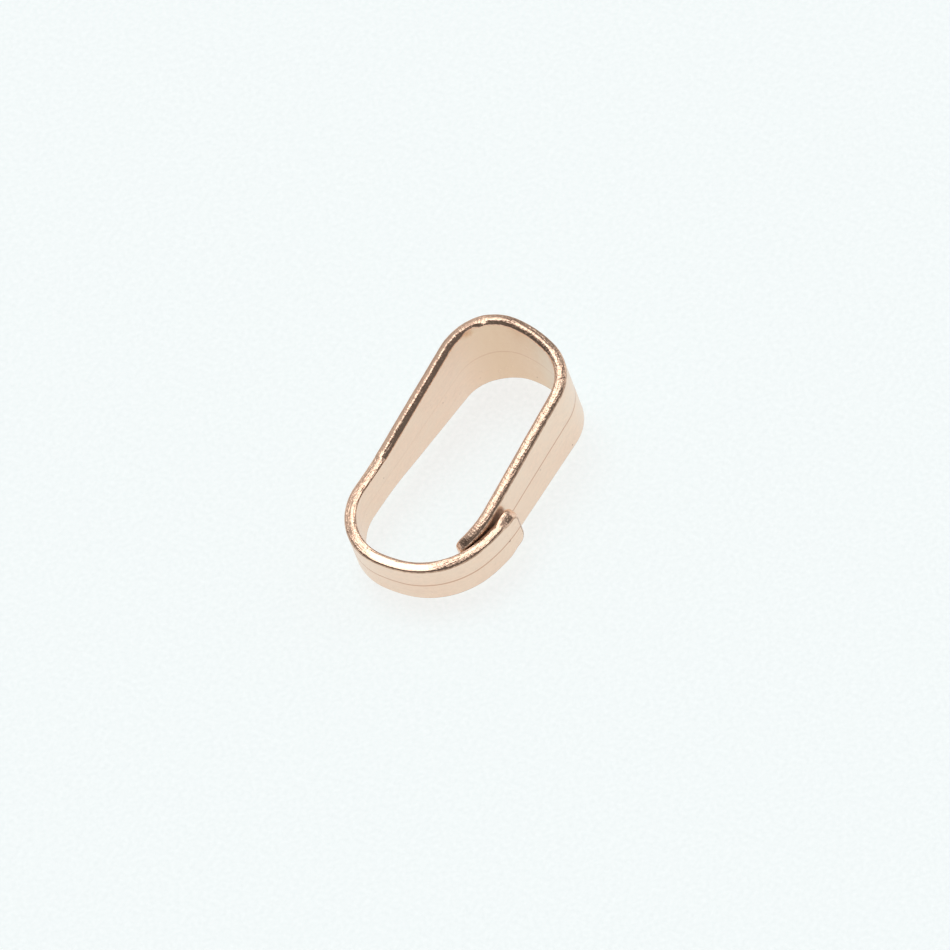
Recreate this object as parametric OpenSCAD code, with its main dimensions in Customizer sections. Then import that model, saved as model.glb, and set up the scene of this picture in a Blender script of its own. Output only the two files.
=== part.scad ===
// Tapered wrap bail: one flat strip bent on its edge into an oval loop.
// Its two round-cornered tongues lap at the narrow end, and the wide end carries the chain.
// It lies on its lower edge, with the long axis along Y and the wide end towards +Y.

/* [Loop] */
// Overall length of the loop, outside to outside
loop_len = 8; // [6.8:0.1:12]
// Overall width of the loop across its two sides at the wide end
loop_w = 3.9; // [3.2:0.1:6]
// Outward lean of the long arm's side, so that the lapped end is the broader one
side_lean = 3; // [0:0.5:6]
// Length of the outer tongue beyond the place where the inner tongue meets it
hook_len = 1.5; // [0.8:0.1:2.2]
// Length over which the end of the inner tongue lies along the outer tongue
lap_len = 0.45; // [0.2:0.05:0.8]
// Gap left between the tongues where they lie along each other
lap_gap = 0.02; // [0.02:0.01:0.12]

/* [Strip] */
// Thickness of the strip
strip_t = 0.34; // [0.24:0.02:0.6]
// Width of the strip at its widest place, beside the crown
wide_w = 3.15; // [2.2:0.05:4.5]
// Width of the narrow stretch that wraps the lapped end
narrow_w = 1.52; // [1:0.02:2.2]
// Width that the short arm has tapered to at the end of its tongue
inner_tip_w = 1.8; // [1:0.05:2.2]
// Length over which the long arm tapers from wide to narrow
taper_len = 5; // [4:0.1:8]
// Length of the rounded corners at the end of the inner tongue
inner_tip_len = 1.4; // [0.4:0.1:2]
// Length of the rounded corners at the end of the outer tongue
outer_tip_len = 0.3; // [0.2:0.05:1]
// Height of each rounded corner, which leaves the middle of each end straight
tip_corner = 0.4; // [0.1:0.02:0.48]

/* [Edges] */
// Rounding of the edges on the inside of the bends
inner_edge_r = 0.09; // [0.04:0.01:0.11]
// Rounding of the edges on the outside of the bends
outer_edge_r = 0.04; // [0.02:0.01:0.11]

/* [Hidden] */
rose_gold = [0.80, 0.55, 0.44];

// Distance between the sides, and between the ends, at the middle of the thickness
span = loop_w - strip_t;
reach = loop_len - strip_t;

// A bend or straight is its turn in degrees, and its radius or straight length
function turn_of(run) = run[0];
function size_of(run) = run[1];

// Bends of the wide end, their radii as shares of the span
left_corner_r = 0.425 * span;
right_corner_r = 0.37 * span;
crown_r = 0.935 * span;
crown_turn = asin((span - left_corner_r - right_corner_r) / (crown_r - right_corner_r));

// Bends of the lapped end, from the long arm's side round to where the tongues part,
// their radii as shares of its breadth
lapped_form = [[92, 0.445], [10.5, 1.09], [60, 0.625]];
// How far the inner tongue has come in from its side where it meets the outer one
tongue_inset = 0.0435 * span;
// The outer tongue then opens away on a wide bend
hook_r = 1.135 * span;
hook_turn = hook_len / hook_r * 180 / PI;

// Where the strip is widest, and how far each way its shoulder is rounded
wide_at = 0.225 * span;
shoulder = 0.12 * span;
// Form of the long arm's taper: 1 is straight, and less is full
taper_power = 0.95;

// Spacing of the sections along the strip, and the turns of those round a tip's corner
section_gap = 0.2;
tip_turns = [0 : 15 : 75];
edge_steps = 3;

// Places on the lower edge that touch the surface it lies on, as shares of each arm
rest_near = 0.711;
rest_crown = 0.057;
rest_short = 0.847;

function bend_length(run) =
    turn_of(run) == 0 ? size_of(run) : abs(turn_of(run)) * PI / 180 * size_of(run);

// Position and heading [x, y, heading] after a share of a bend or straight
function along(p, run, share) =
    turn_of(run) == 0
    ? [p.x + share * size_of(run) * cos(p.z), p.y + share * size_of(run) * sin(p.z), p.z]
    : let (r = sign(turn_of(run)) * size_of(run), h = p.z + share * turn_of(run))
      [p.x + r * (sin(h) - sin(p.z)), p.y - r * (cos(h) - cos(p.z)), h];

// Position and heading at a distance along a list of bends and straights
function walk(p, runs, distance, i = 0) =
    let (l = bend_length(runs[i]))
    i == len(runs) - 1 || distance <= l
    ? along(p, runs[i], distance / l)
    : walk(along(p, runs[i], 1), runs, distance - l, i + 1);

function total(runs, i = 0) =
    i == len(runs) ? 0 : bend_length(runs[i]) + total(runs, i + 1);

// Both arms start at the top of the wide end, where the crown meets the left corner
top = [left_corner_r - span / 2, reach / 2];

// Heading after a number of lapped bends, and how far they go for each unit of breadth:
// all of them across, and the first two down to the lowest point
function heading_after(count) =
    count == 0 ? 270 - side_lean : heading_after(count - 1) + turn_of(lapped_form[count - 1]);
function across(i = 0) =
    i == len(lapped_form) ? 0
    : size_of(lapped_form[i]) * (sin(heading_after(i + 1)) - sin(heading_after(i))) + across(i + 1);
lapped_drop = size_of(lapped_form[0]) * (cos(heading_after(1)) - cos(heading_after(0)))
    + size_of(lapped_form[1]) * (1 - cos(heading_after(1)));

// The lapped end is as broad as it must be for the tongues to meet,
// and the long arm's side is as long as the overall length asks
lap_pitch = strip_t + lap_gap;
side_drop = reach - left_corner_r * (1 - sin(side_lean));
breadth = (span - tongue_inset - left_corner_r * (1 - cos(side_lean))
        + side_drop * tan(side_lean) + lap_pitch * sin(heading_after(3)))
    / (across() + lapped_drop * tan(side_lean));
side_len = (side_drop - breadth * lapped_drop) / cos(side_lean);
lapped_bends = [for (run = lapped_form) [turn_of(run), size_of(run) * breadth]];
to_lap = concat([[90 - side_lean, left_corner_r], [0, side_len]], lapped_bends);
long_arm = concat(to_lap, [[hook_turn, hook_r]]);
long_len = total(long_arm);

// The inner tongue bends until it meets the outer one, and its end lies along that one's inside
lap = walk([top.x, top.y, 180], to_lap, total(to_lap));
meeting = [lap.x, lap.y] + lap_pitch * [-sin(lap.z), cos(lap.z)];
tongue_turn = 450 - lap.z;
tongue_r = (span / 2 - meeting.x) / (1 - cos(tongue_turn));
lap_r = size_of(lapped_bends[2]) - lap_pitch;
lap_turn = lap_len / lap_r * 180 / PI;
short_bends = [[-crown_turn, crown_r], [crown_turn - 90, right_corner_r]];
below_corner = walk([top.x, top.y, 0], short_bends, total(short_bends));
short_side_len = below_corner.y - meeting.y - tongue_r * sin(tongue_turn);
short_arm = concat(short_bends,
    [[0, short_side_len], [-tongue_turn, tongue_r], [-lap_turn, lap_r]]);
short_len = total(short_arm);

// Position along the strip: 0 at the top, positive on the long arm
function strip_place(s) =
    s >= 0
    ? walk([top.x, top.y, 180], long_arm, s)
    : walk([top.x, top.y, 0], short_arm, -s) + [0, 0, 180];

// Width before the tips' corners are rounded
function blank_width(s) =
    s < wide_at
    ? wide_w - (wide_w - inner_tip_w) * (wide_at - s) / (wide_at + short_len)
    : narrow_w + (wide_w - narrow_w) * pow(max(1 - (s - wide_at) / taper_len, 0), taper_power);

// Width with its shoulder rounded by averaging over its neighbourhood
function eased_width(s) =
    let (steps = [-1 : 0.5 : 1], w = [for (k = steps) blank_width(s + k * shoulder)])
    (w * [for (k = steps) 1]) / len(w);

// Height that a rounded corner takes off at a distance from its tip
function corner_cut(e, l) = e >= l ? 0 : tip_corner * (1 - sqrt(1 - pow(1 - e / l, 2)));

function half_width(s) =
    eased_width(s) / 2
    - corner_cut(s + short_len, inner_tip_len) - corner_cut(long_len - s, outer_tip_len);

// Places of the sections, closer together round each tip's corners
tip_steps = [for (a = tip_turns) 1 - cos(a)];
plain_from = inner_tip_len - short_len;
plain_to = long_len - outer_tip_len;
plain_count = ceil((plain_to - plain_from) / section_gap);
places = concat(
    [for (e = tip_steps) inner_tip_len * e - short_len],
    [for (i = [0 : plain_count]) plain_from + (plain_to - plain_from) * i / plain_count],
    [for (i = [len(tip_steps) - 1 : -1 : 0]) long_len - outer_tip_len * tip_steps[i]]
);

// One corner of the section, as outward and upward distances from the strip's middle
function corner(out, up, r, h) = [
    for (i = [0 : edge_steps])
        let (a = 90 * i / edge_steps, c = out * up > 0 ? a : 90 - a)
        [out * (strip_t / 2 - r + r * cos(c)), up * (h - r + r * sin(c))]
];

function section(h) =
    let (ri = min(inner_edge_r, 0.8 * h), ro = min(outer_edge_r, 0.8 * h))
    concat(corner(1, 1, ro, h), corner(-1, 1, ri, h), corner(-1, -1, ri, h), corner(1, -1, ro, h));

section_points = 4 * (edge_steps + 1);
bent = [
    for (s = places)
        let (p = strip_place(s))
        for (q = section(half_width(s)))
            [p.x + q.x * sin(p.z), p.y - q.x * cos(p.z), q.y]
];

// The loop tips until three places on its lower edge touch the surface
function lower_edge(s) = let (p = strip_place(s)) [p.x, p.y, -half_width(s)];
function unit(v) = v / norm(v);
near_foot = lower_edge(rest_near * long_len);
crown_foot = lower_edge(rest_crown * long_len);
short_foot = lower_edge(-rest_short * short_len);
up_axis = unit(cross(short_foot - near_foot, crown_foot - near_foot));
long_axis = unit([0, 1, 0] - up_axis.y * up_axis);
cross_axis = cross(long_axis, up_axis);
tipped = [for (p = bent) [p * cross_axis, p * long_axis, p * up_axis]];

// The origin is on the surface, under the middle of the loop's box
xs = [for (p = tipped) p.x];
ys = [for (p = tipped) p.y];
zs = [for (p = tipped) p.z];
origin = [(min(xs) + max(xs)) / 2, (min(ys) + max(ys)) / 2, min(zs)];
points = [for (p = tipped) p - origin];

// Skin between neighbouring sections, and a cap on each tip
rings = len(places);
skin = [
    for (i = [0 : rings - 2], j = [0 : section_points - 1])
        let (k = (j + 1) % section_points, a = i * section_points, b = a + section_points)
        for (f = [[a + j, b + k, b + j], [a + j, a + k, b + k]]) f
];
first_cap = [for (j = [section_points - 1 : -1 : 0]) j];
last_cap = [for (j = [0 : section_points - 1]) (rings - 1) * section_points + j];

module strip() {
    color(rose_gold) polyhedron(points, concat(skin, [first_cap, last_cap]));
}

strip();
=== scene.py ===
"""Wrap bail in rose gold, lying on its edge: the bent strip, its finish, the pale ground and the light."""
from math import asin, cos, degrees, pi, radians, sin, tan

import bpy
import numpy as np
from mathutils import Matrix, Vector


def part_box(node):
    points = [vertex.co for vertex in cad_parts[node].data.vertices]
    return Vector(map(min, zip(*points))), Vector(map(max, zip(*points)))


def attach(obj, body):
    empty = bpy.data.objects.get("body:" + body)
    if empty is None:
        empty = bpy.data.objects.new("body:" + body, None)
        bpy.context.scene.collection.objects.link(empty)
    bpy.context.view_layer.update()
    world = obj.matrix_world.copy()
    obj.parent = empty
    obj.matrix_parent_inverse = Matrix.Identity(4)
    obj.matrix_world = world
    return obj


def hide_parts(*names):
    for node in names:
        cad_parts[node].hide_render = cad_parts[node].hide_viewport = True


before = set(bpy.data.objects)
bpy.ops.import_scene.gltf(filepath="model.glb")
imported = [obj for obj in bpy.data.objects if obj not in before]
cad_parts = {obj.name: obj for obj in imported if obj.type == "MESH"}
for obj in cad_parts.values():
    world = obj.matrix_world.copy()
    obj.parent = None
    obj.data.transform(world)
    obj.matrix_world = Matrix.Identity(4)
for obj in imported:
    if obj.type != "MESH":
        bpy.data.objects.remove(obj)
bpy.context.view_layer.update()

MM = 0.001

# Loop, in millimetres and degrees, as the solid strip has it
LOOP_LEN = 8.0
LOOP_W = 3.9
SIDE_LEAN = 3.0
HOOK_LEN = 1.5
LAP_LEN = 0.45
LAP_GAP = 0.02

# Strip, in millimetres
STRIP_T = 0.34
WIDE_W = 3.15
NARROW_W = 1.52
INNER_TIP_W = 1.8
TAPER_LEN = 5.0
TAPER_POWER = 0.95
INNER_TIP_LEN = 1.4
OUTER_TIP_LEN = 0.3
TIP_CORNER = 0.4

# Form of the tips' corners: 2 is an ellipse, and more is squarer
INNER_TIP_POWER = 2.6
OUTER_TIP_POWER = 2

HALF_T = STRIP_T / 2
SPAN = LOOP_W - STRIP_T
REACH = LOOP_LEN - STRIP_T
WIDE_AT = 0.225 * SPAN

# Length on each side over which the widest place is eased, and the steps of the mean that eases it
SHOULDER = 0.12 * SPAN
SHOULDER_STEPS = (-1, -0.5, 0, 0.5, 1)

# Bends of the wide end, and those of the lapped end: turn in degrees, and radius as a share of its breadth
LEFT_CORNER_R = 0.425 * SPAN
RIGHT_CORNER_R = 0.37 * SPAN
CROWN_R = 0.935 * SPAN
LAPPED_FORM = [(92.0, 0.445), (10.5, 1.09), (60.0, 0.625)]
TONGUE_INSET = 0.0435 * SPAN
HOOK_R = 1.135 * SPAN

# Headings in degrees: down the long arm before its lean, and up the short arm, a full turn and a quarter
DOWN_LONG_ARM = 270
UP_SHORT_ARM = 450

# Places that touch the ground, as shares of the long and the short arm
REST_NEAR, REST_CROWN, REST_SHORT = 0.711, 0.057, 0.847


# The strip's path

def bend_length(run):
    turn, size = run
    return size if turn == 0 else abs(radians(turn)) * size


def along(place, run, share):
    """Place and heading after a share of a bend or straight."""
    x, y, heading = place
    turn, size = run
    if turn == 0:
        return x + share * size * cos(radians(heading)), y + share * size * sin(radians(heading)), heading
    r = size if turn > 0 else -size
    after = heading + share * turn
    return (x + r * (sin(radians(after)) - sin(radians(heading))),
            y - r * (cos(radians(after)) - cos(radians(heading))), after)


def walk(place, runs, distance):
    """Place and heading at a distance along bends and straights."""
    for run in runs[:-1]:
        length = bend_length(run)
        if distance <= length:
            return along(place, run, distance / length)
        place, distance = along(place, run, 1), distance - length
    return along(place, runs[-1], distance / bend_length(runs[-1]))


def total(runs):
    return sum(bend_length(run) for run in runs)


def lay_out_arms():
    """Top of the wide end, and the bends and straights of the long arm and of the short one."""
    lean = radians(SIDE_LEAN)
    headings = [DOWN_LONG_ARM - SIDE_LEAN]
    for turn, _ in LAPPED_FORM:
        headings.append(headings[-1] + turn)
    sines = [sin(radians(h)) for h in headings]
    cosines = [cos(radians(h)) for h in headings]
    across = sum(share * (sines[i + 1] - sines[i]) for i, (_, share) in enumerate(LAPPED_FORM))
    drop = LAPPED_FORM[0][1] * (cosines[1] - cosines[0]) + LAPPED_FORM[1][1] * (1 - cosines[1])
    pitch = STRIP_T + LAP_GAP
    side_drop = REACH - LEFT_CORNER_R * (1 - sin(lean))
    breadth = ((SPAN - TONGUE_INSET - LEFT_CORNER_R * (1 - cos(lean)) + side_drop * tan(lean)
                + pitch * sines[-1]) / (across + drop * tan(lean)))
    bends = [(turn, share * breadth) for turn, share in LAPPED_FORM]
    to_lap = [(90 - SIDE_LEAN, LEFT_CORNER_R), (0, (side_drop - breadth * drop) / cos(lean)), *bends]
    top = (LEFT_CORNER_R - SPAN / 2, REACH / 2)
    x, y, heading = walk((*top, 180), to_lap, total(to_lap))
    meeting = (x - pitch * sin(radians(heading)), y + pitch * cos(radians(heading)))
    tongue_turn = UP_SHORT_ARM - heading
    tongue_r = (SPAN / 2 - meeting[0]) / (1 - cos(radians(tongue_turn)))
    lap_r = bends[-1][1] - pitch
    crown_turn = degrees(asin((SPAN - LEFT_CORNER_R - RIGHT_CORNER_R) / (CROWN_R - RIGHT_CORNER_R)))
    wide_end = [(-crown_turn, CROWN_R), (crown_turn - 90, RIGHT_CORNER_R)]
    below = walk((*top, 0), wide_end, total(wide_end))
    short_side = below[1] - meeting[1] - tongue_r * sin(radians(tongue_turn))
    short_arm = wide_end + [(0, short_side), (-tongue_turn, tongue_r), (-degrees(LAP_LEN / lap_r), lap_r)]
    return top, to_lap + [(degrees(HOOK_LEN / HOOK_R), HOOK_R)], short_arm


TOP, LONG_ARM, SHORT_ARM = lay_out_arms()
LONG_LEN, SHORT_LEN = total(LONG_ARM), total(SHORT_ARM)


def strip_place(s):
    """Place and heading on the strip's middle: 0 at the top of the wide end, positive on the long arm."""
    if s >= 0:
        return walk((*TOP, 180), LONG_ARM, s)
    x, y, heading = walk((*TOP, 0), SHORT_ARM, -s)
    return x, y, heading + 180


def blank_width(s):
    """Width of the flat strip before its shoulder is eased and its tips are rounded."""
    rising = WIDE_W - (WIDE_W - INNER_TIP_W) * (WIDE_AT - s) / (WIDE_AT + SHORT_LEN)
    falling = NARROW_W + (WIDE_W - NARROW_W) * np.maximum(1 - (s - WIDE_AT) / TAPER_LEN, 0) ** TAPER_POWER
    return np.where(s < WIDE_AT, rising, falling)


def corner_cut(left, length, power):
    """Height that a rounded corner takes off at a distance from its tip."""
    return TIP_CORNER * (1 - (1 - np.clip(1 - left / length, 0, 1) ** power) ** (1 / power))


def half_width(s):
    eased = sum(blank_width(s + step * SHOULDER) for step in SHOULDER_STEPS) / len(SHOULDER_STEPS)
    return (eased / 2 - corner_cut(s + SHORT_LEN, INNER_TIP_LEN, INNER_TIP_POWER)
            - corner_cut(LONG_LEN - s, OUTER_TIP_LEN, OUTER_TIP_POWER))


PATH_STEPS = 2400
PATH_S = np.linspace(-SHORT_LEN, LONG_LEN, PATH_STEPS)
PATH = np.array([strip_place(s) for s in PATH_S])


def bend(s, out, up):
    """Points of the flat strip, at a place along it, out from its middle and up it, on the bent loop."""
    x, y, heading = (np.interp(s, PATH_S, PATH[:, i]) for i in range(3))
    heading = np.radians(heading)
    past = s - np.clip(s, -SHORT_LEN, LONG_LEN)
    return np.stack([x + out * np.sin(heading) + past * np.cos(heading),
                     y - out * np.cos(heading) + past * np.sin(heading), up + 0 * x], -1)


def resting_axes():
    """Axes across, along and up, once three places of the lower edge touch the ground."""
    places = np.array([REST_NEAR * LONG_LEN, REST_CROWN * LONG_LEN, -REST_SHORT * SHORT_LEN])
    near, crown, short = bend(places, np.zeros(3), -half_width(places))
    up = np.cross(short - near, crown - near)
    up /= np.linalg.norm(up)
    ahead = np.array((0, 1, 0)) - up[1] * up
    ahead /= np.linalg.norm(ahead)
    return np.array((np.cross(ahead, up), ahead, up))


# Uneven surfaces

GRAIN_CELLS = 89


def grain(across, along_it, seed):
    """Smooth unevenness between -1 and 1, with humps one unit apart in both coordinates."""
    table = np.random.default_rng(seed).uniform(-1, 1, (GRAIN_CELLS, GRAIN_CELLS))
    a, b = np.broadcast_arrays(across, along_it)
    low_a, low_b = np.floor(a).astype(int), np.floor(b).astype(int)
    fa, fb = a - low_a, b - low_b
    fa, fb = fa * fa * (3 - 2 * fa), fb * fb * (3 - 2 * fb)

    def at(i, j):
        return table[(low_a + i) % GRAIN_CELLS, (low_b + j) % GRAIN_CELLS]

    return ((at(0, 0) * (1 - fa) + at(1, 0) * fa) * (1 - fb)
            + (at(0, 1) * (1 - fa) + at(1, 1) * fa) * fb)


def ease(x, low, high):
    """0 below one value, 1 above a higher one, smooth between."""
    t = np.clip((x - low) / (high - low), 0, 1)
    return t * t * (3 - 2 * t)


def hump(x, middle, half):
    """1 at a middle value, smoothly 0 half a width away."""
    return np.clip(1 - ((x - middle) / half) ** 2, 0, 1) ** 2


def on_stretch(s, start, end, fade):
    """1 on a stretch of the strip, smoothly 0 at both of its ends."""
    return ease(s, start, start + fade) * ease(-s, -end, fade - end)


# The cut rim, by place along the strip: radius of its outer edge, leans of its top in degrees at four places
# from its outer to its inner side, outward positive, radius of its inner edge, and how uneven it is
RIM_STATIONS = np.array([
    (-7.90, 0.06, 14, 10, 8, 4, 0.07, 0.6),
    (-7.72, 0.06, 14, 10, 8, 4, 0.07, 0.6),
    (-7.52, 0.05, 18, 6, -3, -15, 0.06, 0.8),
    (-2.95, 0.05, 18, 6, -1, -17, 0.05, 1.0),
    (-2.60, 0.05, 17, 10, 5, -10, 0.05, 1.4),
    (-2.20, 0.05, 16, 12, 8, -13, 0.05, 1.6),
    (-1.80, 0.04, 17, 14, 7, -17, 0.04, 1.4),
    (-1.20, 0.03, 18, 16, -6, -26, 0.03, 1.0),
    (0.00, 0.03, 19, 16, -13, -26, 0.03, 1.2),
    (0.78, 0.03, 18, 13, -14, -26, 0.03, 1.4),
    (0.92, 0.03, 14, 5, 0, -6, 0.03, 1.4),
    (1.06, 0.03, 14, 8, 2, -26, 0.03, 1.4),
    (1.25, 0.03, 15, 9, 4, -28, 0.03, 1.4),
    (1.55, 0.03, 15, 9, 2, -28, 0.03, 1.2),
    (1.75, 0.03, 19, 10, -12, -24, 0.03, 1.0),
    (3.40, 0.03, 18, 9, -13, -24, 0.03, 1.0),
    (3.80, 0.03, 14, 6, -13, -24, 0.03, 1.0),
    (5.76, 0.03, 14, 6, -12, -24, 0.03, 1.0),
    (5.86, 0.04, 16, 12, 9, -10, 0.03, 2.0),
    (8.30, 0.05, 16, 13, 9, -10, 0.03, 1.8),
    (8.90, 0.05, 13, 6, 0, -8, 0.04, 1.0),
    (9.40, 0.05, 8, 3, 0, -12, 0.04, 0.5),
    (10.90, 0.05, 8, 3, 0, -12, 0.04, 0.5),
    (11.30, 0.05, 15, 10, 1, -10, 0.04, 1.0),
    (12.20, 0.05, 15, 10, 1, -14, 0.05, 1.0),
    (12.50, 0.05, 10, 3, -2, -15, 0.045, 0.8),
    (13.20, 0.05, 13, 7, -4, -24, 0.06, 0.8),
    (13.45, 0.07, 24, 20, 16, 8, 0.07, 0.8),
    (13.95, 0.07, 24, 21, 17, 8, 0.07, 0.6)])
LEAN_PLACES = (0.10, 0.03, -0.03, -0.10)
EDGE_TURNS = np.radians([0, 14, 30, 48, 68, 90])
TOP_ROWS = 17
CREST_RISE = 0.0085

# The lower rim has one set of leans, apart from the tips
LOWER_LEANS = np.array([14, 6, -8, -18])
LOWER_FROM, LOWER_TO, LOWER_FADE = -7.5, 13.2, 0.5

# How far the facets' edges wander. Its parts: share, spacing along the rim, row of the grain and seed
FACET_WANDER = 0.012
WANDER_GRAINS = [(1, 0.35, 5.5, 3), (0.6, 0.11, 8.5, 4)]

# Fine unevenness of the rim, in millimetres: height, spacing along it, distance across it in which the humps
# slant by one unit, spacing across it, row of the grain and seed
RIM_GRAINS = [
    (0.0022, 0.17, 0.4, 0.2, 9.5, 5),
    (0.0016, 0.075, 0.3, 0.25, 7.5, 7),
    (0.0010, 0.3, np.inf, 0.035, 6.5, 9)]

# Burnished ridge along the inner bevel of the long arm's side: where it runs, its place out from the middle
# and half its width, its lean in degrees, and how steady it is
RIDGE_FROM, RIDGE_TO, RIDGE_FADE = 1.8, 5.7, 0.2
RIDGE_AT, RIDGE_HALF = -0.088, 0.026
RIDGE_LEAN = 17
RIDGE_STEADY = 0.55
RIDGE_SPACING, RIDGE_ROW, RIDGE_SEED = 0.09, 2.5, 13

# Dent in the inner edge beside the crown, and the lip pressed up at its end:
# place, half length and how far the edge moves outward
EDGE_DENTS = [(1.45, 0.36, 0.06), (1.04, 0.16, -0.02)]


def rim_leans(s, upper, out, leans, rough):
    """Lean in degrees of the rim's rows, out from the strip's middle."""
    wander = sum(share * grain(s / long, upper * row, seed) for share, long, row, seed in WANDER_GRAINS)
    wander = out + FACET_WANDER * rough * wander
    beneath = (upper < 0) * on_stretch(s, LOWER_FROM, LOWER_TO, LOWER_FADE)
    leans = leans + beneath * (LOWER_LEANS - leans)
    lean = np.array([np.interp(row, LEAN_PLACES[::-1], slopes[::-1]) for row, slopes in zip(wander, leans)])
    ridge = on_stretch(s, RIDGE_FROM, RIDGE_TO, RIDGE_FADE) * (upper > 0)
    ridge = ridge * (RIDGE_STEADY + (1 - RIDGE_STEADY) * grain(s / RIDGE_SPACING, RIDGE_ROW, RIDGE_SEED))
    return lean + RIDGE_LEAN * ridge * hump(out, RIDGE_AT, RIDGE_HALF)


def rim_rows(s, upper):
    """Places out from the middle, and depths below the strip's edge, of the rim's rows, outer to inner."""
    outer_r, *leans, inner_r, rough = (np.interp(s, RIM_STATIONS[:, 0], column)[:, None]
                                       for column in RIM_STATIONS.T[1:])
    s, upper = s[:, None], upper[:, None]
    turns = len(EDGE_TURNS)
    outer = HALF_T - outer_r * (1 - np.cos(EDGE_TURNS))
    inner = inner_r * (1 - np.cos(EDGE_TURNS[::-1])) - HALF_T
    shares = np.linspace(0, 1, TOP_ROWS + 2)[1:-1]
    out = np.concatenate([outer, outer[:, -1:] + (inner[:, :1] - outer[:, -1:]) * shares, inner], 1)
    rise = np.tan(np.radians(rim_leans(s, upper, out, np.concatenate(leans, 1), rough)))
    drop = np.zeros_like(out)
    drop[:, 1:] = np.cumsum((rise[:, 1:] + rise[:, :-1]) / 2 * (out[:, 1:] - out[:, :-1]), 1)
    drop[:, :turns] += outer_r * (1 - np.sin(EDGE_TURNS))
    drop[:, -turns:] += inner_r * (1 - np.sin(EDGE_TURNS[::-1]))
    drop -= drop.min(1)[:, None] + CREST_RISE
    uneven = sum(tall * grain(s / long + out / slant, out / wide + upper * row, seed)
                 for tall, long, slant, wide, row, seed in RIM_GRAINS)
    drop = drop + rough * uneven * hump(out, 0, HALF_T)
    dented = sum(deep * hump(s, at, long) for at, long, deep in EDGE_DENTS) * (upper > 0)
    return out + dented * ease(-out, 0, HALF_T), drop


# Spacing of the wall's columns, the turns of those round a tip's corner, and its rows as shares of the height
COLUMN_GAP = 0.026
CORNER_COLUMNS = 34
WALL_ROWS = np.array([0.2, 0.4, 0.6, 0.8, 0.92])

# Crease along the middle of both faces, shallower on the inner one: its rows, which close up where the strip
# is lower than it needs, its depth and its width
CREASE_ROWS = np.array([0.02, 0.045])
CREASE_ROOM = 0.4
CREASE_DEPTH = 0.006
CREASE_W = 0.02
INNER_CREASE = 0.5

# Waves of the faces
WAVE_HEIGHT, WAVE_LEN, WAVE_W, WAVE_SEED = 0.0012, 0.8, 0.5, 11


def column_places():
    """Places of the wall's columns, closer together round each tip's corners."""
    turns = 1 - np.cos(np.linspace(0, pi / 2, CORNER_COLUMNS)[:-1])
    start, end = INNER_TIP_LEN - SHORT_LEN, LONG_LEN - OUTER_TIP_LEN
    plain = np.linspace(start, end, round((end - start) / COLUMN_GAP))
    return np.concatenate([INNER_TIP_LEN * turns - SHORT_LEN, plain,
                           (LONG_LEN - OUTER_TIP_LEN * turns)[::-1]])


def wall_heights(high):
    """Heights of a wall's rows between its lower and upper edge."""
    crease = CREASE_ROWS * np.minimum(1, high[:, None] / CREASE_ROOM)
    upper = np.concatenate([crease, WALL_ROWS * high[:, None]], 1)
    return np.concatenate([-upper[:, ::-1], np.zeros((len(high), 1)), upper], 1)


def rim_loop(columns, rows):
    """Wall cells under the rim: upper edge, outer tongue's end, lower edge and inner tongue's end."""
    ends = range(1, rows - 1)
    return ([(i, rows - 1) for i in range(columns)] + [(columns - 1, k) for k in reversed(ends)]
            + [(i, 0) for i in reversed(range(columns))] + [(0, k) for k in ends])


def inward_of(edge):
    """Directions into the flat strip from each point of its edge."""
    ahead = np.roll(edge, -1, 0) - edge
    ahead /= np.linalg.norm(ahead, axis=1)[:, None]
    ahead += np.roll(ahead, 1, 0)
    ahead /= np.linalg.norm(ahead, axis=1)[:, None]
    return np.stack([ahead[:, 1], -ahead[:, 0]], 1)


def wall_points(side, loop, rim, columns, rows):
    """Flat places of the points of a wall, outer for side 1 and inner for -1, up to its row of the rim."""
    at = {cell: n for n, cell in enumerate(loop)}
    top = rim[[at[i, rows - 1] for i in range(columns)]]
    low = rim[[at[i, 0] for i in range(columns)]]
    grid = np.zeros((columns, rows, 3))
    grid[:, :, 0] = ((top[:, 0] + low[:, 0]) / 2)[:, None]
    grid[:, 1:-1, 2] = wall_heights((top[:, 2] - low[:, 2]) / 2) + ((top[:, 2] + low[:, 2]) / 2)[:, None]
    crease = CREASE_DEPTH * np.exp(-(grid[:, :, 2] / CREASE_W) ** 2) * (1 if side > 0 else INNER_CREASE)
    waves = WAVE_HEIGHT * grain(grid[:, :, 0] / WAVE_LEN, grid[:, :, 2] / WAVE_W, WAVE_SEED + side)
    grid[:, :, 1] = side * (HALF_T - crease) + waves
    grid[tuple(np.transpose(loop))] = rim
    return grid.reshape(-1, 3)


def strip_faces(loop, columns, rows, rim_row_count):
    """Faces of both walls and of the rim, and whether each is on the rim."""
    cells = columns * rows
    corner = np.arange(cells).reshape(columns, rows)
    a, b, c, d = corner[:-1, :-1], corner[1:, :-1], corner[1:, 1:], corner[:-1, 1:]
    outer = np.stack([a, b, c, d], -1).reshape(-1, 4)
    inner = np.stack([d, c, b, a], -1).reshape(-1, 4) + cells
    first = np.array([corner[cell] for cell in loop])[:, None]
    middle = 2 * cells + np.arange(len(loop) * (rim_row_count - 2)).reshape(len(loop), -1)
    sweep = np.concatenate([first, middle, first + cells], 1)
    after = np.roll(sweep, -1, 0)
    rim = np.stack([sweep[:, :-1], after[:, :-1], after[:, 1:], sweep[:, 1:]], -1).reshape(-1, 4)
    faces = np.concatenate([outer, inner, rim])
    return faces, np.arange(len(faces)) >= len(faces) - len(rim)


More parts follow.
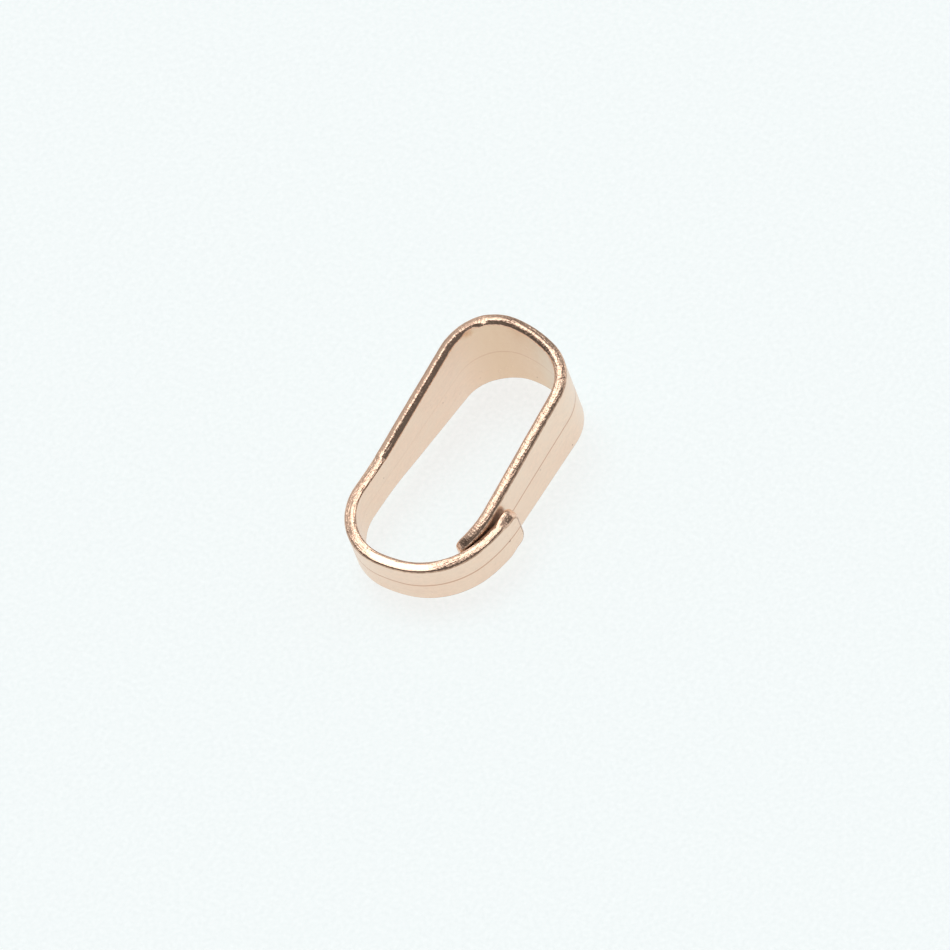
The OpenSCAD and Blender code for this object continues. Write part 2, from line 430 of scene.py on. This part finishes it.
def strip_mesh():
    """Flat places, bent points, faces and whether each face is on the rim."""
    places = column_places()
    high = half_width(places)
    grid_up = np.concatenate([-high[:, None], wall_heights(high), high[:, None]], 1)
    columns, rows = grid_up.shape
    loop = rim_loop(columns, rows)
    edge = np.array([(places[i], grid_up[i, k]) for i, k in loop])
    inward = inward_of(edge)
    out, drop = rim_rows(edge[:, 0], np.sign(edge[:, 1]))
    rim = np.stack([edge[:, :1] + inward[:, :1] * drop, out, edge[:, 1:] + inward[:, 1:] * drop], 2)
    walls = [wall_points(side, loop, rim[:, row], columns, rows) for side, row in ((1, 0), (-1, -1))]
    flat = np.concatenate([*walls, rim[:, 1:-1].reshape(-1, 3)])
    faces, is_rim = strip_faces(loop, columns, rows, out.shape[1])
    return flat, bend(*flat.T) @ resting_axes().T, faces, is_rim


def place_in_box(points):
    """Moves the loop to where the solid strip lies. Gives its points in metres, and where its origin went."""
    low, high = (np.array(corner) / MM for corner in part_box("strip"))
    shift = (low + high - points.max(0) - points.min(0)) / 2
    shift[2] = low[2] - points[:, 2].min()
    return (points + shift) * MM, shift * MM


def make_strip():
    flat, points, faces, is_rim = strip_mesh()
    points, origin = place_in_box(points)
    mesh = bpy.data.meshes.new("bail_strip")
    mesh.from_pydata(points.tolist(), [], faces.tolist())
    mesh.polygons.foreach_set("use_smooth", np.ones(len(faces), bool))
    mesh.polygons.foreach_set("material_index", is_rim.astype(np.int32))
    place = mesh.attributes.new("flat_place", "FLOAT_VECTOR", "POINT")
    place.data.foreach_set("vector", flat.astype(np.float32).ravel())
    mesh.update()
    strip = bpy.data.objects.new("bail_strip", mesh)
    bpy.context.scene.collection.objects.link(strip)
    return strip, origin


# Shader nodes

# Numbers of a Mix node's colour sockets, and of its colour output
MIX_LOW, MIX_HIGH, MIX_RESULT = 6, 7, 2


def set_inputs(tree, node, inputs):
    """Sets a node's inputs, or links those that come from other nodes."""
    for key, value in inputs.items():
        if isinstance(value, bpy.types.NodeSocket):
            tree.links.new(value, node.inputs[key])
        else:
            node.inputs[key].default_value = value


def add_node(tree, kind, inputs=None, **settings):
    """Adds a node with its settings and inputs."""
    node = tree.nodes.new("ShaderNode" + kind)
    for name, value in settings.items():
        setattr(node, name, value)
    set_inputs(tree, node, inputs or {})
    return node


def maths(tree, operation, *values):
    return add_node(tree, "Math", dict(enumerate(values)), operation=operation).outputs[0]


def rgba(colour, level=1):
    """Colour at a share of its brightness, as a shader takes it."""
    return (*(level * c for c in colour), 1)


def mixed(tree, share, low, high):
    """Colour between two colours."""
    mix = add_node(tree, "Mix", {0: share, MIX_LOW: low, MIX_HIGH: high}, data_type="RGBA")
    return mix.outputs[MIX_RESULT]


def fading(tree, value, low, high):
    """0 at one value, 1 at another, and smooth between."""
    return add_node(tree, "MapRange", {"Value": value, "From Min": low, "From Max": high},
                    interpolation_type="SMOOTHSTEP").outputs[0]


def clamped_sum(tree, level, value):
    """A level plus a value, kept between 0 and 1."""
    return add_node(tree, "Clamp", {0: maths(tree, "ADD", level, value)}).outputs[0]


def in_units(tree, vector, unit):
    """Vector counted in units of a given size."""
    return add_node(tree, "VectorMath", {0: vector, "Scale": maths(tree, "DIVIDE", 1.0, unit)},
                    operation="SCALE").outputs[0]


def new_group(name, inputs, outputs):
    """An empty group with its sockets. Gives it with its input and output nodes."""
    group = bpy.data.node_groups.new(name, "ShaderNodeTree")
    for way, sockets in (("INPUT", inputs), ("OUTPUT", outputs)):
        for label, kind in sockets.items():
            group.interface.new_socket(label, in_out=way, socket_type="NodeSocket" + kind)
    return group, group.nodes.new("NodeGroupInput").outputs, group.nodes.new("NodeGroupOutput").inputs


def place_group(tree, group, vector, settings):
    """Adds a group that takes a vector and its own settings. Gives its output."""
    node = tree.nodes.new("ShaderNodeGroup")
    node.node_tree = group
    set_inputs(tree, node, {"Vector": vector, **settings})
    return node.outputs[0]


def mottle_group():
    """Soft cloudiness around 0, with its size in the vector's unit."""
    group, given, gives = new_group(
        "soft_mottle", {"Vector": "Vector", "Size": "Float", "Strength": "Float"}, {"Value": "Float"})
    finer = in_units(group, given["Vector"], given["Size"])
    cloud = add_node(group, "TexNoise", {"Vector": finer, "Scale": 1.0, "Detail": 3.0,
                                         "Roughness": 0.6}).outputs[0]
    value = maths(group, "MULTIPLY", maths(group, "SUBTRACT", cloud, 0.5), given["Strength"])
    group.links.new(value, gives["Value"])
    return group


# Radius within which a speck, or a pit, is full, as a share of its own radius
SPECK_CORE = 0.6
PIT_CORE = 0.3


def specks_group():
    """Sparse dark specks of different sizes: 1 in a speck."""
    group, given, gives = new_group(
        "sparse_specks", {"Vector": "Vector", "Spacing": "Float", "Size": "Float"}, {"Mask": "Float"})
    scaled = in_units(group, given["Vector"], given["Spacing"])
    cells = add_node(group, "TexVoronoi", {"Vector": scaled, "Scale": 1.0, "Randomness": 1.0})
    far = maths(group, "MULTIPLY", cells.outputs["Distance"], given["Spacing"])
    random_share = add_node(group, "SeparateColor", {0: cells.outputs["Color"]}).outputs[0]
    radius = maths(group, "MULTIPLY", given["Size"], random_share)
    mask = fading(group, maths(group, "DIVIDE", far, radius), 1.0, SPECK_CORE)
    group.links.new(mask, gives["Mask"])
    return group


def fine_lines_group():
    """Fine lines that run along the vector's X: heights from 0 to 1."""
    group, given, gives = new_group(
        "fine_lines", {"Vector": "Vector", "Length": "Float", "Spacing": "Float"}, {"Height": "Float"})
    x, y, z = add_node(group, "SeparateXYZ", {0: given["Vector"]}).outputs
    place = add_node(group, "CombineXYZ", {
        0: maths(group, "DIVIDE", x, given["Length"]),
        1: maths(group, "DIVIDE", y, given["Spacing"]),
        2: maths(group, "DIVIDE", z, given["Spacing"])}).outputs[0]
    lines = add_node(group, "TexNoise", {"Vector": place, "Scale": 1.0, "Detail": 2.0}).outputs[0]
    group.links.new(lines, gives["Height"])
    return group


def new_material(name):
    material = bpy.data.materials.new(name)
    material.use_nodes = True
    material.node_tree.nodes.clear()
    return material, material.node_tree


def flat_place(tree):
    """Place on the flat strip in millimetres: along it, out through it and up its width."""
    return add_node(tree, "Attribute", attribute_name="flat_place").outputs["Vector"]


def finish_metal(tree, colour, rough, height, relief):
    """Metal with a colour, a roughness, and a relief of a given height in metres."""
    bump = add_node(tree, "Bump", {"Height": height, "Distance": relief, "Strength": 1.0}).outputs[0]
    metal = add_node(tree, "BsdfPrincipled", {"Base Color": colour, "Metallic": 1.0, "Roughness": rough,
                                              "Normal": bump})
    add_node(tree, "OutputMaterial", {"Surface": metal.outputs[0]})


# Satin faces

WALL_COLOUR = (0.895, 0.69, 0.545)
WALL_PALE = (0.885, 0.725, 0.585)
# Brown painted shade for the crease along the faces' middle
CREASE_SHADE_COLOUR = (0.62, 0.38, 0.26)
CROWN_COLOUR = (0.81, 0.61, 0.44)
# Greyer painted reflection at the corner of the crown's inside
CORNER_REFLECTION_COLOUR = (0.74, 0.645, 0.49)
# Painted shade in the gap where the tongues lap
LAP_SHADE_COLOUR = (0.46, 0.36, 0.33)
SPECK_COLOUR = (0.16, 0.09, 0.07)

# Brightness of the faces where the mottling is darkest and lightest, the mottling, the wider pale patches with
# their level and share, the rolled lines, the specks, the roughness and how it varies, and the relief's height
WALL_TONES = (0.94, 1.06)
WALL_CLOUD = {"Size": 0.13, "Strength": 2.2}
WALL_PATCHES = {"Size": 0.7, "Strength": 2.4}
PATCH_LEVEL, PATCH_SHARE = 0.4, 0.6
WALL_BRUSHING = {"Length": 1.2, "Spacing": 0.03}
WALL_SPECKS = {"Spacing": 1.1, "Size": 0.03}
WALL_ROUGHNESS, WALL_ROUGH_SPREAD = 0.33, 0.12
WALL_RELIEF = 0.003 * MM

# Painted shade in the crease along the middle, in brown: half its width, half of its full part, how it
# wanders, and its strength on the inner face and what the crown's inside adds
CREASE_SHADE_HALF, CREASE_SHADE_CORE = 0.04, 0.01
CREASE_SHADE_WANDER = {"Size": 0.9, "Strength": 0.03}
INNER_CREASE_SHADE, CROWN_CREASE_SHADE = 0.12, 0.35

# Pits in the faces: place on the flat strip and radius
PITS = [((-2.99, 0.17, -1.08), 0.036), ((-4.43, 0.17, -0.12), 0.03), ((13.30, 0.17, -0.03), 0.04),
        ((6.07, -0.17, 0.19), 0.028), ((3.18, -0.17, -0.19), 0.028)]
PIT_SHARE = 0.75

# Stretch of the crown's inside that is coloured darker, and its turn to the corner's greyer colour, which is a
# painted reflection
CROWN_FROM, CROWN_TO, CROWN_FADE = -2.3, 2.6, 2.0
CORNER_FROM, CORNER_FULL = -0.2, -1.4

# Where the tongues lap, whose facing sides get painted shade in the gap, and how far out from the middle a
# point is on a face
LAP_FROM, LAP_TO, LAP_FADE = -7.1, 12.5, 0.5
FACE_OUT = 0.6 * STRIP_T / 2


def lap_shade_share(tree, along_strip, out):
    """1 on the faces that the two tongues turn to each other, which get painted shade."""
    on_inner_tongue = maths(tree, "MULTIPLY", fading(tree, along_strip, LAP_FROM, LAP_FROM - LAP_FADE),
                            maths(tree, "GREATER_THAN", out, FACE_OUT))
    on_outer_tongue = maths(tree, "MULTIPLY", fading(tree, along_strip, LAP_TO - LAP_FADE, LAP_TO),
                            maths(tree, "LESS_THAN", out, -FACE_OUT))
    return maths(tree, "MAXIMUM", on_inner_tongue, on_outer_tongue)


def crown_share(tree, along_strip, outside):
    """1 in the middle of the crown's inside, and 0 on the outer face."""
    crown = maths(tree, "MULTIPLY", fading(tree, along_strip, CROWN_FROM, CROWN_FROM + CROWN_FADE),
                  fading(tree, along_strip, CROWN_TO, CROWN_TO - CROWN_FADE))
    return maths(tree, "MULTIPLY", crown, maths(tree, "SUBTRACT", 1.0, outside))


def wall_specks(tree, specks, place):
    """1 in the darkest of the faces' specks and pits."""
    speck = place_group(tree, specks, place, WALL_SPECKS)
    for spot, radius in PITS:
        far = add_node(tree, "VectorMath", {0: place, 1: spot}, operation="DISTANCE").outputs["Value"]
        pit = maths(tree, "MULTIPLY", fading(tree, far, radius, PIT_CORE * radius), PIT_SHARE)
        speck = maths(tree, "MAXIMUM", speck, pit)
    return speck


def satin_wall(mottle, specks, lines):
    """Satin faces of the strip, with painted shade in the crease that the rolls left along their middle."""
    material, tree = new_material("satin_wall")
    place = flat_place(tree)
    along_strip, out, up = add_node(tree, "SeparateXYZ", {0: place}).outputs
    outside = maths(tree, "GREATER_THAN", out, 0.0)
    cloud = place_group(tree, mottle, place, WALL_CLOUD)
    brushed = place_group(tree, lines, place, WALL_BRUSHING)
    patches = clamped_sum(tree, PATCH_LEVEL, place_group(tree, mottle, place, WALL_PATCHES))
    crown = crown_share(tree, along_strip, outside)
    off = maths(tree, "ABSOLUTE", maths(tree, "ADD", up, place_group(tree, mottle, place, CREASE_SHADE_WANDER)))
    strength = maths(tree, "ADD", maths(tree, "MULTIPLY", crown, CROWN_CREASE_SHADE),
                     maths(tree, "MAXIMUM", outside, INNER_CREASE_SHADE))
    # Painted shade along the crease in the faces' middle
    crease_shade = maths(tree, "MULTIPLY", fading(tree, off, CREASE_SHADE_HALF, CREASE_SHADE_CORE), strength)
    colour = mixed(tree, maths(tree, "ADD", cloud, brushed),
                   *(rgba(WALL_COLOUR, tone) for tone in WALL_TONES))
    colour = mixed(tree, maths(tree, "MULTIPLY", patches, PATCH_SHARE), colour, rgba(WALL_PALE))
    # Darker crown inside, turning greyer towards the corner as a painted reflection
    crown_tint_and_corner_reflection = mixed(tree, fading(tree, along_strip, CORNER_FROM, CORNER_FULL), rgba(CROWN_COLOUR),
                 rgba(CORNER_REFLECTION_COLOUR))
    colour = mixed(tree, crown, colour, crown_tint_and_corner_reflection)
    colour = mixed(tree, crease_shade, colour, rgba(CREASE_SHADE_COLOUR))
    colour = mixed(tree, wall_specks(tree, specks, place), colour, rgba(SPECK_COLOUR))
    # Painted shade on the faces in the gap where the tongues lap
    colour = mixed(tree, lap_shade_share(tree, along_strip, out), colour, rgba(LAP_SHADE_COLOUR))
    rough = maths(tree, "ADD", WALL_ROUGHNESS, maths(tree, "MULTIPLY", cloud, WALL_ROUGH_SPREAD))
    finish_metal(tree, colour, rough, brushed, WALL_RELIEF)
    return material


# Burnished rim

RIM_COLOUR = (0.90, 0.645, 0.48)
RIM_PINK = (0.85, 0.54, 0.40)
# Painted contact shadow on the lower rim's inner part
RIM_CONTACT_SHADE = (0.48, 0.33, 0.25)
# Painted dark reflection along the rim's rounded edges
RIM_DARK_REFLECTION = (0.46, 0.30, 0.21)

# Cloudiness of its colour, the level of pink in it, and its specks
RIM_CLOUD = {"Size": 0.12, "Strength": 2.4}
PINK_LEVEL = 0.35
RIM_SPECKS = {"Spacing": 0.35, "Size": 0.035}
RIM_SPECK_SHARE = 0.8

# Painted dark reflection along the rim's edges: how far out they begin, their fade and level, and where the
# inner one starts and is full on the short and on the long arm
OUTER_DARK_FROM, INNER_DARK_FROM, EDGE_FADE = 0.143, 0.145, 0.018
DARK_EDGE_LEVEL = 0.75
SHORT_ARM_DARK, LONG_ARM_DARK = (-1.5, -2.0), (5.7, 6.0)

# The lower rim's inner part is darker with painted shade of the ground's contact shadow: heights where that
# starts and is full, and how far out it reaches
CONTACT_SHADE_UP, CONTACT_SHADE_OUT = (0.0, -0.4), -0.1

# Streaks across the rim, lines drawn along it and fine pitting, each with its share of the relief
STREAKS, STREAK_SHARE = {"Length": 0.3, "Spacing": 0.055}, 0.5
DRAWN_LINES, DRAWN_SHARE = {"Length": 0.45, "Spacing": 0.04}, 0.4
PITTING, PITTING_SHARE = {"Size": 0.06, "Strength": 1.0}, 0.5
RIM_RELIEF = 0.02 * MM

# Roughness at the streaks' lowest and highest
STREAK_RANGE = (0.3, 0.7)
RIM_ROUGHNESS = (0.10, 0.22)

# Stretches of the rim that are smoother than the rest: where from, where to, and by what share
SMOOTHER = [(9.2, 11.0, 0.7), (1.8, 5.7, 0.5)]
SMOOTHER_FADE = 0.2


def dark_reflection_share(tree, along_strip, out, cloud):
    """1 on the rim's outer and inner edge, where a dark reflection is painted."""
    outer_edge = fading(tree, out, OUTER_DARK_FROM, OUTER_DARK_FROM + EDGE_FADE)
    on_arms = maths(tree, "MAXIMUM", fading(tree, along_strip, *SHORT_ARM_DARK),
                    fading(tree, along_strip, *LONG_ARM_DARK))
    inner_edge = fading(tree, out, -INNER_DARK_FROM, -INNER_DARK_FROM - EDGE_FADE)
    inner_edge = maths(tree, "MULTIPLY", inner_edge, on_arms)
    return maths(tree, "MULTIPLY", maths(tree, "MAXIMUM", outer_edge, inner_edge),
                 clamped_sum(tree, DARK_EDGE_LEVEL, cloud))


def rim_height(tree, along_strip, streaks, drawn, pitted):
    """Height of the rim's fine relief, lower on its smoother stretches."""
    height = maths(tree, "ADD", maths(tree, "MULTIPLY", streaks, STREAK_SHARE),
                   maths(tree, "MULTIPLY", drawn, DRAWN_SHARE))
    height = maths(tree, "ADD", height, maths(tree, "MULTIPLY", pitted, PITTING_SHARE))
    for start, end, share in SMOOTHER:
        there = maths(tree, "MULTIPLY",
                      fading(tree, along_strip, start - SMOOTHER_FADE, start + SMOOTHER_FADE),
                      fading(tree, along_strip, end + SMOOTHER_FADE, end - SMOOTHER_FADE))
        kept = maths(tree, "SUBTRACT", 1.0, maths(tree, "MULTIPLY", there, share))
        height = maths(tree, "MULTIPLY", height, kept)
    return height


def burnished_rim(mottle, specks, lines):
    """Cut edge, rubbed bright, with streaks across it."""
    material, tree = new_material("burnished_rim")
    place = flat_place(tree)
    along_strip, out, up = add_node(tree, "SeparateXYZ", {0: place}).outputs
    across = add_node(tree, "CombineXYZ", {0: out, 1: along_strip, 2: up}).outputs[0]
    streaks = place_group(tree, lines, across, STREAKS)
    drawn = place_group(tree, lines, place, DRAWN_LINES)
    pitted = place_group(tree, mottle, place, PITTING)
    cloud = place_group(tree, mottle, place, RIM_CLOUD)
    speck = place_group(tree, specks, place, RIM_SPECKS)
    colour = mixed(tree, clamped_sum(tree, PINK_LEVEL, cloud), rgba(RIM_COLOUR), rgba(RIM_PINK))
    colour = mixed(tree, maths(tree, "MULTIPLY", speck, RIM_SPECK_SHARE), colour, rgba(SPECK_COLOUR))
    # Painted dark reflection along the rim's outer and inner edges
    colour = mixed(tree, dark_reflection_share(tree, along_strip, out, cloud), colour, rgba(RIM_DARK_REFLECTION))
    # Painted contact shadow from the ground on the lower rim's inner part
    beneath = maths(tree, "MULTIPLY", fading(tree, up, *CONTACT_SHADE_UP),
                    maths(tree, "LESS_THAN", out, CONTACT_SHADE_OUT))
    colour = mixed(tree, beneath, colour, rgba(RIM_CONTACT_SHADE))
    rough = add_node(tree, "MapRange", {
        "Value": streaks, "From Min": STREAK_RANGE[0], "From Max": STREAK_RANGE[1],
        "To Min": RIM_ROUGHNESS[0], "To Max": RIM_ROUGHNESS[1]}).outputs[0]
    finish_metal(tree, colour, rough, rim_height(tree, along_strip, streaks, drawn, pitted), RIM_RELIEF)
    return material


# Ground

GROUND_SIZE, GROUND_CELLS = 0.4, 4
GROUND_GLOW = (0.853, 0.820, 0.799)
GROUND_TONES = (0.90, 1.10)
GROUND_ALBEDO = (0.12, 0.29, 0.335)
GROUND_CLOUD = {"Size": 0.13 * MM, "Strength": 1.0}


def pale_ground(mottle):
    """Ground lit from within, as on a light table, so that hardly a shadow falls on it."""
    material, tree = new_material("pale_ground")
    place = add_node(tree, "TexCoord").outputs["Object"]
    cloud = place_group(tree, mottle, place, GROUND_CLOUD)
    glow = mixed(tree, maths(tree, "ADD", 0.5, cloud), *(rgba(GROUND_GLOW, tone) for tone in GROUND_TONES))
    sheet = add_node(tree, "BsdfPrincipled", {
        "Base Color": rgba(GROUND_ALBEDO), "Roughness": 0.9, "Specular IOR Level": 0.0,
        "Emission Color": glow, "Emission Strength": 1.0})
    add_node(tree, "OutputMaterial", {"Surface": sheet.outputs[0]})
    return material


def add_ground(mottle):
    bpy.ops.mesh.primitive_grid_add(
        x_subdivisions=GROUND_CELLS, y_subdivisions=GROUND_CELLS, size=GROUND_SIZE)
    ground = bpy.context.object
    ground.name = "ground"
    ground.data.materials.append(pale_ground(mottle))


# Camera: its angles in degrees and its distance in metres, and the photo's frame, scale and place of the loop

AZIMUTH, ELEVATION, ROLL = 42.826, 54.432, -14.288
DISTANCE = 0.5
FRAME_PX = 950
PX_PER_MM = 36.36
CENTRE_PX = (465.57, 464.69)
SENSOR = 36.0
CLIP_START, CLIP_END = 0.01, 5


def direction(azimuth, elevation):
    """Unit direction, its azimuth counted from the side away from +Y towards +X."""
    a, e = radians(azimuth), radians(elevation)
    return sin(a) * cos(e), -cos(a) * cos(e), sin(e)


def add_camera(centre):
    """Camera at the photo's angle, with the loop's middle at its place in the frame."""
    back = np.array(direction(AZIMUTH, ELEVATION))
    level = np.array(direction(AZIMUTH + 90, 0))
    upright = np.cross(back, level)
    r = radians(ROLL)
    right, up = level * cos(r) + upright * sin(r), upright * cos(r) - level * sin(r)
    data = bpy.data.cameras.new("camera")
    data.sensor_width = SENSOR
    data.lens = SENSOR * PX_PER_MM * (DISTANCE / MM) / FRAME_PX
    data.clip_start, data.clip_end = CLIP_START, CLIP_END
    camera = bpy.data.objects.new("camera", data)
    aside = (FRAME_PX / 2 - CENTRE_PX[0]) / PX_PER_MM * MM
    above = (CENTRE_PX[1] - FRAME_PX / 2) / PX_PER_MM * MM
    place = centre + right * aside + up * above + back * DISTANCE
    axes = Matrix([[*row] for row in np.stack([right, up, back], 1)])
    camera.matrix_world = Matrix.Translation(place) @ axes.to_4x4()
    bpy.context.scene.collection.objects.link(camera)
    bpy.context.scene.camera = camera


# Studio dome: its brightness, and patches of it, each with its azimuth from the camera's side, elevation,
# angles where it is full and where it has faded, and brightness. A later patch covers an earlier one.
DOME_LEVEL = 0.36
DOME = [
    (90, 45, 40, 60, 0.14),
    (-72, 45, 32, 46, 0.08),
    (0, 45, 34, 52, 0.14),
    (110, 28, 14, 26, 1.1),
    (135, 72, 6, 13, 0.5),
    (207, 54, 18, 34, 0.60),
    (232, 70, 7, 11, 1.5),
    (190, 66, 13, 18, 2.6)]

# Brightness at the horizon, and the elevations between which the dome takes over
HORIZON_LEVEL = 0.9
HORIZON = (8, 20)


def add_dome():
    """Soft studio light from all round, with brighter and darker patches."""
    world = bpy.data.worlds.new("studio")
    bpy.context.scene.world = world
    world.use_nodes = True
    tree = world.node_tree
    tree.nodes.clear()
    where = add_node(tree, "TexCoord").outputs["Generated"]

    def blend_to(level, value, amount, low, high):
        """Level that turns into another value as an amount rises from low to high."""
        share = fading(tree, amount, low, high)
        return add_node(tree, "Mix", {"Factor": share, "A": level, "B": value}).outputs["Result"]

    level = DOME_LEVEL
    for azimuth, elevation, full, faded, value in DOME:
        near = add_node(tree, "VectorMath", {0: where, 1: direction(AZIMUTH + azimuth, elevation)},
                        operation="DOT_PRODUCT").outputs["Value"]
        level = blend_to(level, value, near, cos(radians(faded)), cos(radians(full)))
    height = add_node(tree, "SeparateXYZ", {0: where}).outputs["Z"]
    level = blend_to(HORIZON_LEVEL, level, height, *(sin(radians(e)) for e in HORIZON))
    light = add_node(tree, "Background", {"Strength": level, "Color": (1, 1, 1, 1)})
    add_node(tree, "OutputWorld", {"Surface": light.outputs[0]})


# Assembly

strip, strip_origin = make_strip()
effects = mottle_group(), specks_group(), fine_lines_group()
strip.data.materials.append(satin_wall(*effects))
strip.data.materials.append(burnished_rim(*effects))
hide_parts("strip")
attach(strip, "root")
add_ground(effects[0])
add_dome()
add_camera(strip_origin)
bpy.context.scene.view_settings.view_transform = "Standard"
